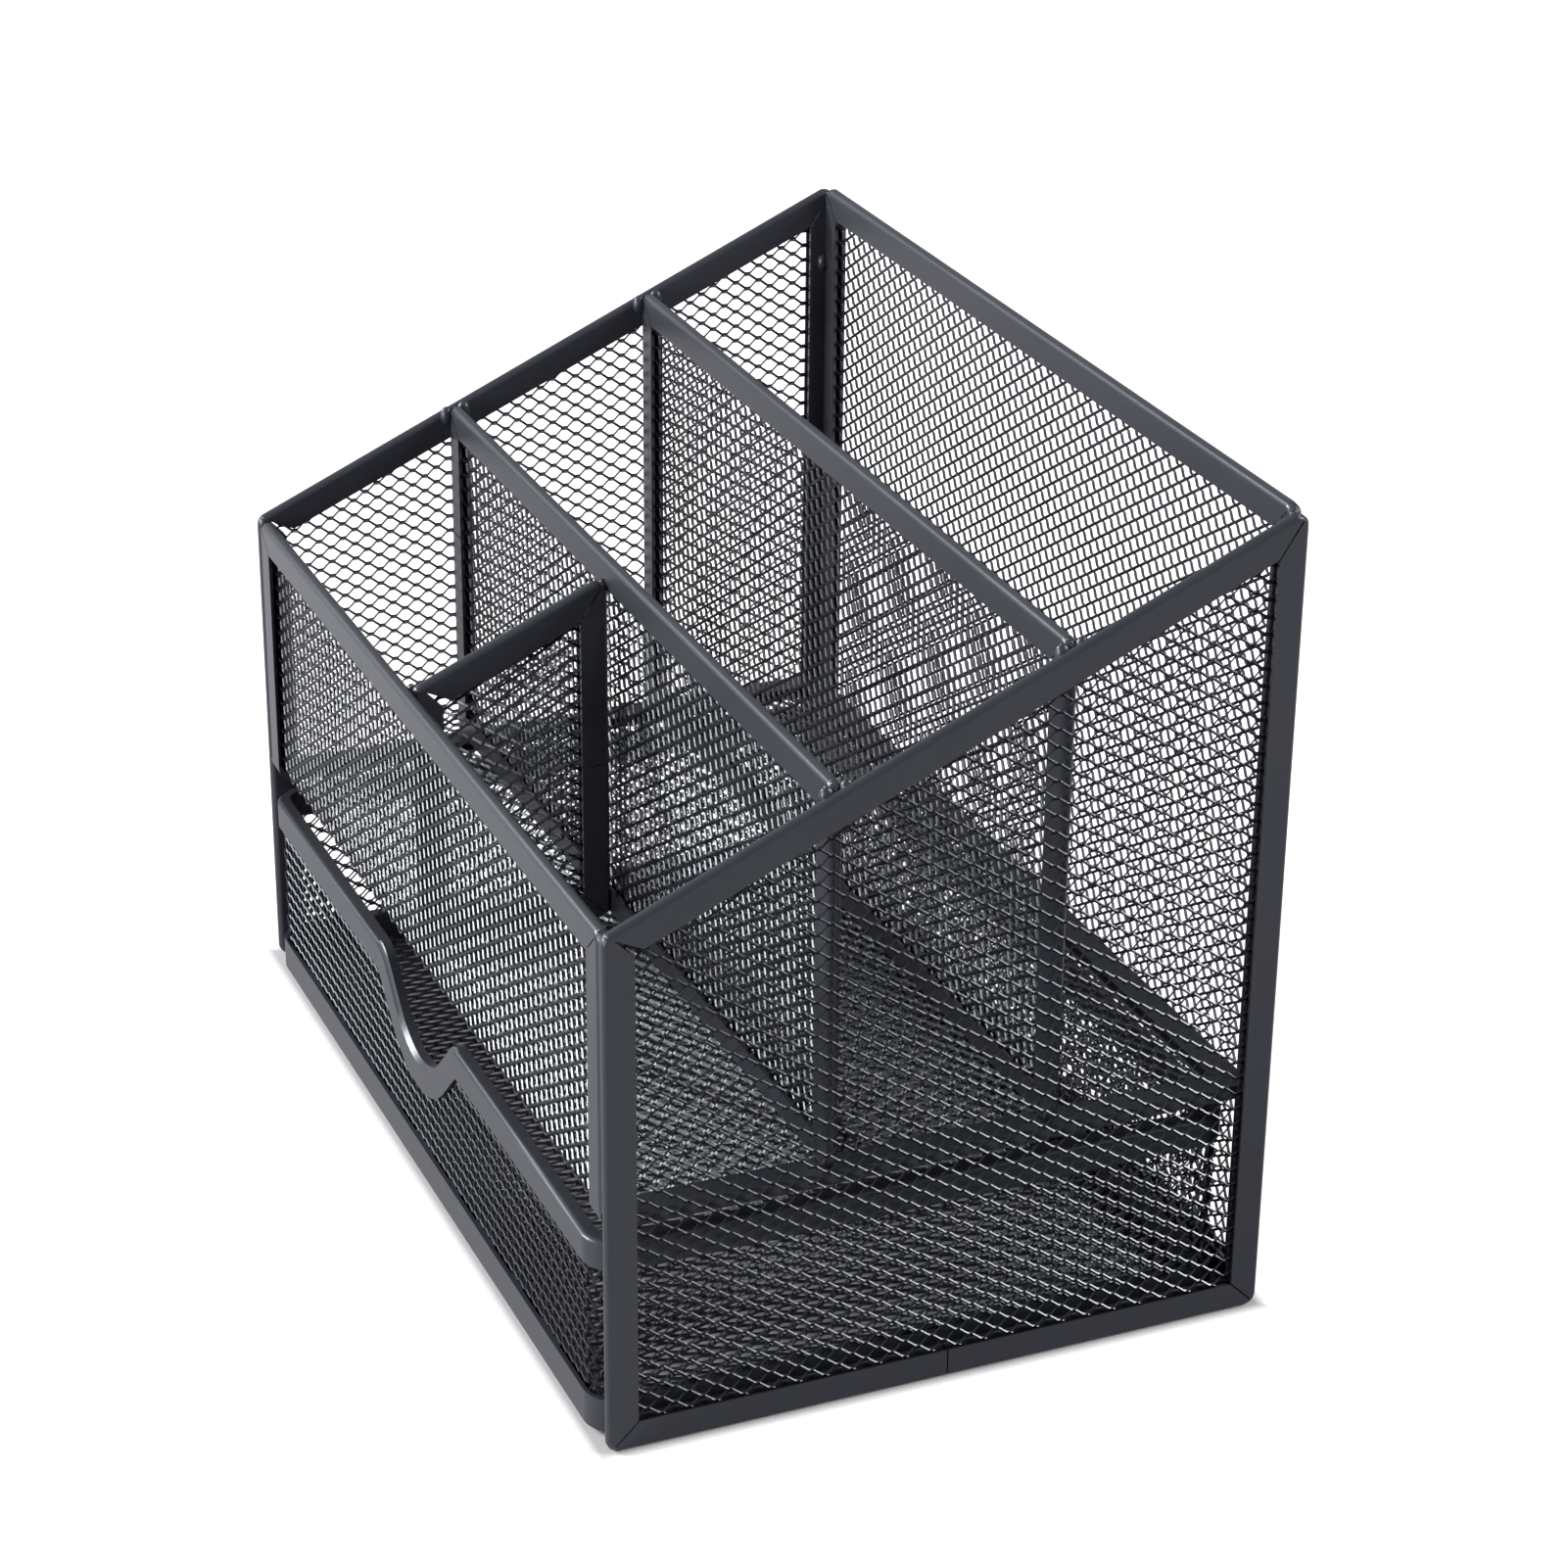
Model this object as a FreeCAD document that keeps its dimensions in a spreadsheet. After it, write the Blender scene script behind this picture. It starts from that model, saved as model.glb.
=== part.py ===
import FreeCAD, Part
import math
import os
import Sketcher

# Desk organiser of black expanded metal: a slanted pen stand over a pull-out drawer.
#
# Every panel is a flat sheet of expanded metal held in a folded channel: a metal strip bent
# round the sheet's edge, so that two lips grip the sheet and a web closes the outside.
# The panels stand as follows: two side panels with a sloping top, a back panel between them,
# a front panel that folds back into the shelf, two long dividers and one short divider on the
# shelf, and a drawer that slides under it.
# Frame: X to the right along the drawer's front, Y to the back, Z up. The origin is at the
# middle of the footprint, on the desk. Millimetres.

doc = FreeCAD.newDocument("pen_stand")

# ---------------------------------------------------------------- driving dimensions

SIZES = [
    ("width", 155.0, "across the outer faces of the side panels"),
    ("panel_depth", 97.8, "front edge to back edge of a side panel"),
    ("front_height", 77.0, "top of a side panel at its front edge"),
    ("back_height", 120.7, "top of a side panel at its back edge"),
    ("back_panel_drop", 0.3, "back panel's top under the side panels' back corners"),
    ("metal", 0.6, "thickness of the strip that the channels are folded from"),
    ("mesh_thick", 0.8, "thickness of the expanded metal"),
    ("strip_width", 4.3, "width of a channel's lip on the panel's face"),
    ("mesh_hem", 0.5, "closed hem of the mesh stays this far behind the lip's edge"),
    ("corner_round", 1.7, "outer corner of a channel, in the panel's plane"),
    ("edge_break", 0.65, "broken outer edge of a channel"),
    ("seam_gap", 0.2, "open seam where two lips or two strip ends meet"),
    ("butt_seam_y", 1.0, "butt seam in a side panel's bottom channel"),
    ("back_seam_x", 20.0, "butt seam in the back panel's bottom channel"),
    ("post_seam_height", 70.8, "butt seam in the long dividers' left posts"),
    ("short_seam_height", 60.5, "butt seam in the short divider's rear post"),
    ("notch_back", 1.5, "point of the V notch behind the front edge"),
    ("notch_wide", 1.8, "opening of the V notch along the window's top edge"),
    ("cell_long", 44.0, "long way of a mesh opening's cell"),
    ("cell_short", 27.5, "short way of a mesh opening's cell"),
    ("strand_width", 6.6, "width of a mesh strand"),
    ("shelf_height", 35.3, "top of the shelf's channel"),
    ("fold_radius", 0.8, "inside radius of the fold from the shelf up to the front panel"),
    ("middle_divider_y", -16.0, "centre plane of the middle divider"),
    ("rear_divider_y", 16.6, "centre plane of the rear divider"),
    ("divider_proud", 0.5, "long dividers' tops above the side panels' slope"),
    ("short_divider_x", -5.0, "centre plane of the short divider"),
    ("short_drop", 1.0, "short divider's top under the side panels' slope"),
    ("drawer_proud", 0.7, "drawer's front face before the panels' front edges"),
    ("drawer_side_gap", 0.8, "drawer to a side panel"),
    ("drawer_back_gap", 2.0, "drawer to the back panel"),
    ("drawer_top_gap", 2.5, "drawer's rim to the shelf's underside"),
    ("drawer_lift", 0.3, "drawer's underside above the desk"),
    ("drawer_corner", 5.0, "outer radius of the drawer's upright corners"),
    ("top_rim_high", 4.6, "height of the drawer's upper rim"),
    ("bottom_rim_high", 5.6, "height of the drawer's lower rim"),
    ("floor_hem", 2.0, "closed hem round the drawer's mesh floor"),
    ("floor_lift", 0.8, "drawer's mesh floor above the underside of its rim"),
    ("pull_half", 18.5, "half width of the finger notch at the rim's top"),
    ("pull_deep", 10.7, "depth of the finger notch"),
    ("pull_shoulder", 6.0, "radius of the notch's shoulders"),
    ("pull_bottom", 12.5, "radius of the notch's bottom"),
    ("weld_radius", 1.3, "radius of a weld bead"),
    ("back_weld_height", 108.0, "height of the weld between back panel and side panel"),
]

# Places that follow from the sizes above.
LAYOUT = [
    ("strip_thick", "sizes.mesh_thick + 2 * sizes.metal"),
    ("half_inside", "sizes.width / 2 - strip_thick"),
    ("front_face", "(sizes.drawer_proud - sizes.panel_depth) / 2"),
    ("back_face", "front_face + sizes.panel_depth"),
    ("rise", "(sizes.back_height - sizes.front_height) / sizes.panel_depth"),
    ("lean", "sqrt(1 + rise ^ 2)"),
    ("hem_width", "sizes.strip_width - sizes.mesh_hem"),
    ("slot_bevel", "sizes.corner_round - sizes.metal"),
    ("hole_share", "1 - sizes.strand_width * sqrt(sizes.cell_long ^ 2 + sizes.cell_short ^ 2)"
                   " / (sizes.cell_long * sizes.cell_short)"),
    ("shelf_middle", "sizes.shelf_height - strip_thick / 2"),
    ("fold_middle", "sizes.fold_radius + strip_thick / 2"),
    ("fold_top", "shelf_middle + fold_middle"),
    ("shelf_back", "back_face - strip_thick"),
    ("middle_front", "sizes.middle_divider_y - strip_thick / 2"),
    ("middle_top", "sizes.front_height + rise * (sizes.middle_divider_y - front_face)"
                   " + sizes.divider_proud"),
    ("rear_top", "sizes.front_height + rise * (sizes.rear_divider_y - front_face)"
                 " + sizes.divider_proud"),
    ("short_front", "front_face + strip_thick"),
    ("short_top", "sizes.front_height + rise * (short_front - front_face) - sizes.short_drop"),
    ("drawer_half", "half_inside - sizes.drawer_side_gap"),
    ("drawer_front", "front_face - sizes.drawer_proud"),
    ("drawer_back", "shelf_back - sizes.drawer_back_gap"),
    ("drawer_top", "sizes.shelf_height - strip_thick - sizes.drawer_top_gap"),
    ("floor_bottom", "sizes.drawer_lift + sizes.floor_lift"),
    ("wall_inset", "sizes.metal + sizes.mesh_thick / 2"),
]

# Cuts that must pass a face overrun it by this much.
OVERRUN = 1.0
# Edges are found by their place, which may differ from the formula's by this much.
SAME_PLACE = 0.01


def fill_sheet(name, rows, prefix=""):
    """A spreadsheet with one alias to a row. The prefix turns its contents into formulas."""
    sheet = doc.addObject("Spreadsheet::Sheet", name)
    for line, (alias, content, *note) in enumerate(rows, start=1):
        sheet.set(f"A{line}", alias)
        sheet.set(f"B{line}", f"{prefix}{content}")
        sheet.setAlias(f"B{line}", alias)
        sheet.set(f"C{line}", " ".join(note))
    doc.recompute()
    return sheet


sizes = fill_sheet("sizes", SIZES)
layout = fill_sheet("layout", LAYOUT, prefix="=")


def number(formula):
    """What a formula on the two sheets comes to, in millimetres."""
    return float(layout.evalExpression(formula))


# ---------------------------------------------------------------- bodies and sketches


def new_body(name, axis=None, place=None):
    """A body whose origin planes are moved along one axis to the piece's centre plane."""
    body = doc.addObject("PartDesign::Body", name)
    if axis:
        body.setExpression(f"Placement.Base.{axis}", place)
        doc.recompute()
    return body


def new_sketch(body, name, role):
    """An empty sketch on one of the body's origin planes."""
    sketch = body.newObject("Sketcher::SketchObject", name)
    plane = next(item for item in body.Origin.OriginFeatures if item.Role == role)
    sketch.AttachmentSupport = [(plane, "")]
    sketch.MapMode = "FlatFace"
    return sketch


def tie(sketch, kind, *target):
    """A dimension from the sheet: target ends with its formula."""
    *where, formula = target
    index = sketch.addConstraint(Sketcher.Constraint(kind, *where, number(formula)))
    sketch.setExpression(f"Constraints[{index}]", formula)


def tie_point(sketch, curve, end, corner):
    """Ties one end of a curve to a place given by two formulas."""
    across, up = corner
    tie(sketch, "DistanceX", -1, 1, curve, end, across)
    tie(sketch, "DistanceY", -1, 1, curve, end, up)


def add_polygon(sketch, corners):
    """A closed outline, each corner a pair of formulas measured from the sketch's origin."""
    points = [FreeCAD.Vector(number(across), number(up), 0) for across, up in corners]
    first = sketch.GeometryCount
    for start, end in zip(points, points[1:] + points[:1]):
        sketch.addGeometry(Part.LineSegment(start, end))
    for index, corner in enumerate(corners):
        before = first + (index - 1) % len(corners)
        sketch.addConstraint(Sketcher.Constraint("Coincident", before, 2, first + index, 1))
        tie_point(sketch, first + index, 1, corner)


def pad(body, sketch, name, length):
    """A slab of the sketch's outline, half to each side of its plane."""
    feature = body.newObject("PartDesign::Pad", name)
    feature.Profile = sketch
    feature.SideType = "Symmetric"
    feature.setExpression("Length", length)
    doc.recompute()
    return feature


def pocket(body, sketch, name, length=None):
    """A cut to both sides of the sketch: through everything, or of a stated length."""
    feature = body.newObject("PartDesign::Pocket", name)
    feature.Profile = sketch
    feature.SideType = "Symmetric"
    if length:
        feature.setExpression("Length", length)
    else:
        feature.Type = "ThroughAll"
    doc.recompute()
    return feature


def cut_polygon(body, role, name, corners, length=None):
    """A cut with straight sides, through everything or of a stated length."""
    sketch = new_sketch(body, f"{name}_sketch", role)
    add_polygon(sketch, corners)
    return pocket(body, sketch, name, length)


def dress_edges(body, kind, name, chosen, measure, formula):
    """A fillet or chamfer on those edges of the body's last solid that chosen() picks."""
    base = body.Tip
    names = [f"Edge{index}" for index, edge in enumerate(base.Shape.Edges, start=1) if chosen(edge)]
    feature = body.newObject(kind, name)
    feature.Base = (base, names)
    feature.setExpression(measure, formula)
    doc.recompute()
    return feature


def round_edges(body, name, chosen, radius):
    """Rounds those edges of the body's last solid that chosen() picks."""
    return dress_edges(body, "PartDesign::Fillet", name, chosen, "Radius", radius)


def break_edges(body, name, chosen, size):
    """Bevels those edges of the body's last solid that chosen() picks."""
    return dress_edges(body, "PartDesign::Chamfer", name, chosen, "Size", size)


# Which coordinates a sketch plane runs along, and which one it faces.
PLANE_AXES = {"XY_Plane": ("x", "y", "z"), "XZ_Plane": ("x", "z", "y"), "YZ_Plane": ("y", "z", "x")}


def on_corner(role, corners):
    """Picks the edges that stand square to the plane at the given corners."""
    across, up, _ = PLANE_AXES[role]
    places = [(number(a), number(b)) for a, b in corners]

    def chosen(edge):
        middle = edge.CenterOfMass
        reach = edge.BoundBox
        flat = (getattr(reach, f"{across.upper()}Length") + getattr(reach, f"{up.upper()}Length"))
        away = min(
            math.hypot(getattr(middle, across) - a, getattr(middle, up) - b) for a, b in places
        )
        return flat < SAME_PLACE and away < SAME_PLACE

    return chosen


class Panel:
    """Four-sided flat outline: near and far ends, a level bottom and a top that may rise.

    Where the sheet folds on into the next panel, the bottom is open: no channel runs there.
    """

    def __init__(self, near, far, bottom, top, rise="0", lean="1", open_bottom=False):
        self.near, self.far, self.bottom, self.top = near, far, bottom, top
        self.rise, self.lean = rise, lean
        self.open_bottom = open_bottom

    def top_at(self, across, inset="0"):
        return f"{self.top} + {self.rise} * (({across}) - ({self.near})) - ({inset}) * {self.lean}"

    def corners(self, inset="0"):
        """Near bottom, far bottom, far top and near top, moved in by inset on every side."""
        near = f"{self.near} + {inset}"
        far = f"{self.far} - ({inset})"
        bottom = self.bottom if self.open_bottom else f"{self.bottom} + {inset}"
        return [
            (near, bottom),
            (far, bottom),
            (far, self.top_at(far, inset)),
            (near, self.top_at(near, inset)),
        ]

    def bends(self, inset="0"):
        """The corners that the channel turns round."""
        return self.corners(inset)[2:] if self.open_bottom else self.corners(inset)

    def add_band(self, sketch, outer, inner):
        """The outline of a band between two insets: a closed ring, or a U with the bottom open."""
        outside = self.corners(outer)
        inside = self.corners(inner)
        if self.open_bottom:
            near, far = (outside[0], inside[0]), (inside[1], outside[1])
            add_polygon(sketch, [*near, inside[3], inside[2], *far, outside[2], outside[3]])
        else:
            add_polygon(sketch, outside)
            add_polygon(sketch, inside)


# ---------------------------------------------------------------- folded channels


def on_outside(role, panel):
    """Picks the edges that run round the outer faces of a panel, on both of its sides."""
    _, _, facing = PLANE_AXES[role]
    corners = [FreeCAD.Vector(number(a), number(b), 0) for a, b in panel.corners()]
    sides = list(zip(corners, corners[1:] + corners[:1]))[1 if panel.open_bottom else 0:]
    reach = number("sizes.corner_round")
    half = number("layout.strip_thick") / 2

    def flatten(point):
        across, up, _ = PLANE_AXES[role]
        return FreeCAD.Vector(getattr(point, across), getattr(point, up), 0)

    def chosen(edge):
        levels = [getattr(vertex.Point, facing) for vertex in edge.Vertexes]
        on_face = abs(abs(sum(levels)) - half * len(levels)) < SAME_PLACE
        middle = flatten(edge.valueAt((edge.FirstParameter + edge.LastParameter) / 2))
        away = min(middle.distanceToLineSegment(start, end).Length for start, end in sides)
        return on_face and away < reach / 2

    return chosen


def channel_ring(name, role, axis, place, panel):
    """Strip folded round the sides of a panel: rounded outside, open to the window."""
    body = new_body(name, axis, place)
    outline = new_sketch(body, f"{name}_outline", role)
    panel.add_band(outline, "0", "sizes.strip_width")
    pad(body, outline, f"{name}_ring", "layout.strip_thick")
    cut_polygon(body, role, f"{name}_slot", panel.corners("sizes.metal"), "sizes.mesh_thick")
    slot_bends = on_corner(role, panel.bends("sizes.metal"))
    break_edges(body, f"{name}_slot_corners", slot_bends, "layout.slot_bevel")
    round_edges(body, f"{name}_corners", on_corner(role, panel.bends()), "sizes.corner_round")
    break_edges(body, f"{name}_edges", on_outside(role, panel), "sizes.edge_break")
    return body


def cut_mitre(body, role, panel, corner):
    """Open seam between the two lips that meet at a corner. The web stays whole behind it."""
    start_inset = "sizes.metal + sizes.corner_round * (1 - sqrt(0.5))"
    start = panel.corners(start_inset)[corner]
    end = panel.corners(f"sizes.strip_width + {OVERRUN}")[corner]
    half = "sizes.seam_gap * sqrt(0.5)"
    cut_polygon(body, role, f"{body.Name}_mitre_{corner}", [
        (f"{start[0]} - {half}", start[1]),
        (f"{start[0]} + {half}", start[1]),
        (f"{end[0]} + {half}", end[1]),
        (f"{end[0]} - {half}", end[1]),
    ])


def cut_notch(body, role, panel):
    """V-shaped opening where the front post's lip and the sloping rail's lip stop short."""
    corner_across, corner_up = panel.corners("sizes.strip_width")[3]
    point = f"{panel.near} + sizes.notch_back"
    rail = f"{corner_across} + sizes.notch_wide"
    cut_polygon(body, role, f"{body.Name}_notch", [
        (point, panel.top_at(point, "1.5 * sizes.metal")),
        (corner_across, f"{corner_up} - sizes.notch_wide / 4"),
        (rail, panel.top_at(rail, "sizes.strip_width + sizes.notch_wide / 4")),
    ])


def cut_seam_upright(body, role, place, panel):
    """Butt seam across the bottom channel, where the folded strip's two ends meet."""
    half = "sizes.seam_gap / 2"
    cut_polygon(body, role, f"{body.Name}_seam", [
        (f"{place} - {half}", f"{panel.bottom} - {OVERRUN}"),
        (f"{place} + {half}", f"{panel.bottom} - {OVERRUN}"),
        (f"{place} + {half}", f"{panel.bottom} + sizes.strip_width + {OVERRUN}"),
        (f"{place} - {half}", f"{panel.bottom} + sizes.strip_width + {OVERRUN}"),
    ])


def cut_seam_level(body, role, height, outside, inside):
    """Butt seam across an upright post, from its outside to the window."""
    half = "sizes.seam_gap / 2"
    cut_polygon(body, role, f"{body.Name}_seam", [
        (outside, f"{height} - {half}"),
        (inside, f"{height} - {half}"),
        (inside, f"{height} + {half}"),
        (outside, f"{height} + {half}"),
    ])


# ---------------------------------------------------------------- expanded metal


def cut_cells(body, role, panel, upright=False):
    """Two staggered fields of diamond openings, centred on the panel."""
    wide, high = "sizes.cell_long", "sizes.cell_short"
    if upright:
        wide, high = high, wide
    top = panel.top_at(panel.far)
    half_across = f"(({panel.far}) - ({panel.near})) / 2"
    half_up = f"(({top}) - ({panel.bottom})) / 2"
    columns = f"ceil({half_across} / {wide})"
    rows = f"ceil({half_up} / {high})"
    first_across = f"({panel.near}) + {half_across} - {columns} * {wide}"
    first_up = f"({panel.bottom}) + {half_up} - {rows} * {high}"
    for field, share in enumerate((0, 0.5)):
        across = f"{first_across} + {share} * {wide}"
        up = f"{first_up} + {share} * {high}"
        reach_across = f"layout.hole_share * {wide} / 2"
        reach_up = f"layout.hole_share * {high} / 2"
        name = f"{body.Name}_cell_{field}"
        cell = new_sketch(body, f"{name}_sketch", role)
        add_polygon(cell, [
            (f"{across} - {reach_across}", up),
            (across, f"{up} - {reach_up}"),
            (f"{across} + {reach_across}", up),
            (across, f"{up} + {reach_up}"),
        ])
        opening = body.newObject("PartDesign::Pocket", name)
        opening.Profile = cell
        opening.SideType = "Symmetric"
        opening.Type = "ThroughAll"
        pattern = body.newObject("PartDesign::LinearPattern", f"{name}_field")
        pattern.Originals = [opening]
        pattern.Direction = (cell, ["H_Axis"])
        pattern.Direction2 = (cell, ["V_Axis"])
        pattern.setExpression("Length", f"(2 * {columns} - {field}) * {wide}")
        pattern.setExpression("Length2", f"(2 * {rows} - {field}) * {high}")
        pattern.setExpression("Occurrences", f"2 * {columns} + {1 - field}")
        pattern.setExpression("Occurrences2", f"2 * {rows} + {1 - field}")
        body.Tip = pattern
        doc.recompute()


def mesh_sheet(name, role, axis, place, panel, upright=False, edge="sizes.metal",
               hem="layout.hem_width"):
    """Expanded metal cut to a panel's channel, with a closed hem inside the channel."""
    body = new_body(name, axis, place)
    blank = new_sketch(body, f"{name}_outline", role)
    add_polygon(blank, panel.corners(edge))
    pad(body, blank, f"{name}_blank", "sizes.mesh_thick")
    cut_cells(body, role, panel, upright)
    hem_outline = new_sketch(body, f"{name}_hem_outline", role)
    panel.add_band(hem_outline, edge, hem)
    pad(body, hem_outline, f"{name}_hem", "sizes.mesh_thick")
    return body


def bevel_sheet(body, role, panel):
    """Cuts a sheet's corners off where its channel turns."""
    corners = on_corner(role, panel.bends("sizes.metal"))
    break_edges(body, f"{body.Name}_corners", corners, "layout.slot_bevel")


# ---------------------------------------------------------------- side panels

side = Panel("layout.front_face", "layout.back_face", "0", "sizes.front_height",
             "layout.rise", "layout.lean")
for hand, sign in (("left", "-"), ("right", "+")):
    place = f"{sign}(sizes.width - layout.strip_thick) / 2"
    frame = channel_ring(f"{hand}_frame", "YZ_Plane", "x", place, side)
    for corner in range(3):
        cut_mitre(frame, "YZ_Plane", side, corner)
    cut_notch(frame, "YZ_Plane", side)
    cut_seam_upright(frame, "YZ_Plane", "sizes.butt_seam_y", side)
    sheet = mesh_sheet(f"{hand}_mesh", "YZ_Plane", "x", place, side)
    bevel_sheet(sheet, "YZ_Plane", side)

# ---------------------------------------------------------------- back panel

back = Panel("-layout.half_inside", "layout.half_inside", "0",
             "sizes.back_height - sizes.back_panel_drop")
back_place = "layout.back_face - layout.strip_thick / 2"
back_frame = channel_ring("back_frame", "XZ_Plane", "y", back_place, back)
for corner in range(4):
    cut_mitre(back_frame, "XZ_Plane", back, corner)
cut_seam_upright(back_frame, "XZ_Plane", "sizes.back_seam_x", back)
back_mesh = mesh_sheet("back_mesh", "XZ_Plane", "y", back_place, back)
bevel_sheet(back_mesh, "XZ_Plane", back)

# ---------------------------------------------------------------- long dividers

for label in ("middle", "rear"):
    divider = Panel("-layout.half_inside", "layout.half_inside", "sizes.shelf_height",
                    f"layout.{label}_top")
    place = f"sizes.{label}_divider_y"
    frame = channel_ring(f"{label}_divider_frame", "XZ_Plane", "y", place, divider)
    for corner in range(4):
        cut_mitre(frame, "XZ_Plane", divider, corner)
    cut_seam_level(frame, "XZ_Plane", "sizes.post_seam_height",
                   f"{divider.near} - {OVERRUN}",
                   f"{divider.near} + sizes.strip_width + {OVERRUN}")
    sheet = mesh_sheet(f"{label}_divider_mesh", "XZ_Plane", "y", place, divider)
    bevel_sheet(sheet, "XZ_Plane", divider)

# ---------------------------------------------------------------- short divider

short = Panel("layout.short_front", "layout.middle_front", "sizes.shelf_height",
              "layout.short_top", "layout.rise", "layout.lean")
short_frame = channel_ring("short_divider_frame", "YZ_Plane", "x", "sizes.short_divider_x", short)
for corner in range(3):
    cut_mitre(short_frame, "YZ_Plane", short, corner)
cut_notch(short_frame, "YZ_Plane", short)
cut_seam_level(short_frame, "YZ_Plane", "sizes.short_seam_height",
               f"{short.far} - sizes.strip_width - {OVERRUN}", f"{short.far} + {OVERRUN}")
short_mesh = mesh_sheet("short_divider_mesh", "YZ_Plane", "x", "sizes.short_divider_x", short)
bevel_sheet(short_mesh, "YZ_Plane", short)

# ---------------------------------------------------------------- front panel

front = Panel("-layout.half_inside", "layout.half_inside", "layout.fold_top",
              "sizes.front_height", open_bottom=True)
front_place = "layout.front_face + layout.strip_thick / 2"
front_frame = channel_ring("front_frame", "XZ_Plane", "y", front_place, front)
for corner in (2, 3):
    cut_mitre(front_frame, "XZ_Plane", front, corner)
front_mesh = mesh_sheet("front_mesh", "XZ_Plane", "y", front_place, front)
bevel_sheet(front_mesh, "XZ_Plane", front)

# ---------------------------------------------------------------- shelf
# The front panel's sheet folds back here and lies level, so the shelf's pieces start with the
# fold. The shelf's bodies stand at the sheet's middle plane.


def add_arc_quarter(sketch, centre, radius):
    """The quarter of a circle from its left end to its lowest point."""
    middle = FreeCAD.Vector(number(centre[0]), number(centre[1]), 0)
    circle = Part.Circle(middle, FreeCAD.Vector(0, 0, 1), number(radius))
    curve = sketch.addGeometry(Part.ArcOfCircle(circle, math.pi, 1.5 * math.pi))
    tie_point(sketch, curve, 3, centre)
    tie(sketch, "Radius", curve, radius)
    tie(sketch, "DistanceY", -1, 1, curve, 1, centre[1])
    tie(sketch, "DistanceX", -1, 1, curve, 2, centre[0])
    return curve


def add_fold(sketch, thickness, back):
    """Cross-section of the folded sheet or channel: the fold in front, then level to the back."""
    centre = (f"{front_place} + layout.fold_middle", "layout.fold_middle")
    outer = add_arc_quarter(sketch, centre, f"layout.fold_middle + {thickness} / 2")
    inner = add_arc_quarter(sketch, centre, f"layout.fold_middle - {thickness} / 2")

    def end_of(curve, end):
        arc = sketch.Geometry[curve]
        return arc.StartPoint if end == 1 else arc.EndPoint

    behind = number(back)
    under = sketch.addGeometry(Part.LineSegment(
        end_of(outer, 2), FreeCAD.Vector(behind, end_of(outer, 2).y, 0)))
    ending = sketch.addGeometry(Part.LineSegment(
        FreeCAD.Vector(behind, end_of(outer, 2).y, 0),
        FreeCAD.Vector(behind, end_of(inner, 2).y, 0)))
    over = sketch.addGeometry(Part.LineSegment(
        FreeCAD.Vector(behind, end_of(inner, 2).y, 0), end_of(inner, 2)))
    across = sketch.addGeometry(Part.LineSegment(end_of(inner, 1), end_of(outer, 1)))
    joins = [
        (outer, 2, under, 1), (under, 2, ending, 1), (ending, 2, over, 1),
        (over, 2, inner, 2), (inner, 1, across, 1), (across, 2, outer, 1),
    ]
    for join in joins:
        sketch.addConstraint(Sketcher.Constraint("Coincident", *join))
    tie_point(sketch, under, 2, (back, f"-{thickness} / 2"))
    tie_point(sketch, over, 1, (back, f"{thickness} / 2"))


shelf = Panel("-layout.half_inside", "layout.half_inside", f"{front_place} + layout.fold_middle",
              "layout.shelf_back", open_bottom=True)

shelf_frame = new_body("shelf_frame", "z", "layout.shelf_middle")
profile = new_sketch(shelf_frame, "shelf_frame_profile", "YZ_Plane")
add_fold(profile, "layout.strip_thick", "layout.shelf_back")
pad(shelf_frame, profile, "shelf_frame_blank", "2 * layout.half_inside")
groove = new_sketch(shelf_frame, "shelf_frame_slot_profile", "YZ_Plane")
add_fold(groove, "sizes.mesh_thick", "layout.shelf_back - sizes.metal")
pocket(shelf_frame, groove, "shelf_frame_slot", "2 * (layout.half_inside - sizes.metal)")
window = shelf.corners("sizes.strip_width")
before_fold = f"layout.front_face - {OVERRUN}"
cut_polygon(shelf_frame, "XY_Plane", "shelf_frame_window",
            [(window[0][0], before_fold), (window[1][0], before_fold), window[2], window[3]])
break_edges(shelf_frame, "shelf_frame_slot_corners",
            on_corner("XY_Plane", shelf.bends("sizes.metal")), "layout.slot_bevel")
round_edges(shelf_frame, "shelf_frame_corners",
            on_corner("XY_Plane", shelf.bends()), "sizes.corner_round")
for corner in (2, 3):
    cut_mitre(shelf_frame, "XY_Plane", shelf, corner)

shelf_mesh = new_body("shelf_mesh", "z", "layout.shelf_middle")
profile = new_sketch(shelf_mesh, "shelf_mesh_profile", "YZ_Plane")
add_fold(profile, "sizes.mesh_thick", "layout.shelf_back - sizes.metal")
pad(shelf_mesh, profile, "shelf_mesh_blank", "2 * (layout.half_inside - sizes.metal)")
cut_cells(shelf_mesh, "XY_Plane", shelf)
hem = new_sketch(shelf_mesh, "shelf_mesh_hem_outline", "XY_Plane")
shelf.add_band(hem, "sizes.metal", "layout.hem_width")
pad(shelf_mesh, hem, "shelf_mesh_hem", "sizes.mesh_thick")
bend = new_sketch(shelf_mesh, "shelf_mesh_bend_profile", "YZ_Plane")
add_fold(bend, "sizes.mesh_thick", f"{front_place} + layout.fold_middle + sizes.mesh_hem")
pad(shelf_mesh, bend, "shelf_mesh_bend", "2 * (layout.half_inside - sizes.metal)")
bevel_sheet(shelf_mesh, "XY_Plane", shelf)

# ---------------------------------------------------------------- drawer
# A tray of expanded metal with rounded upright corners and a channel round its upper edge and
# its foot. The front has a finger notch, and the upper channel follows it.


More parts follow.
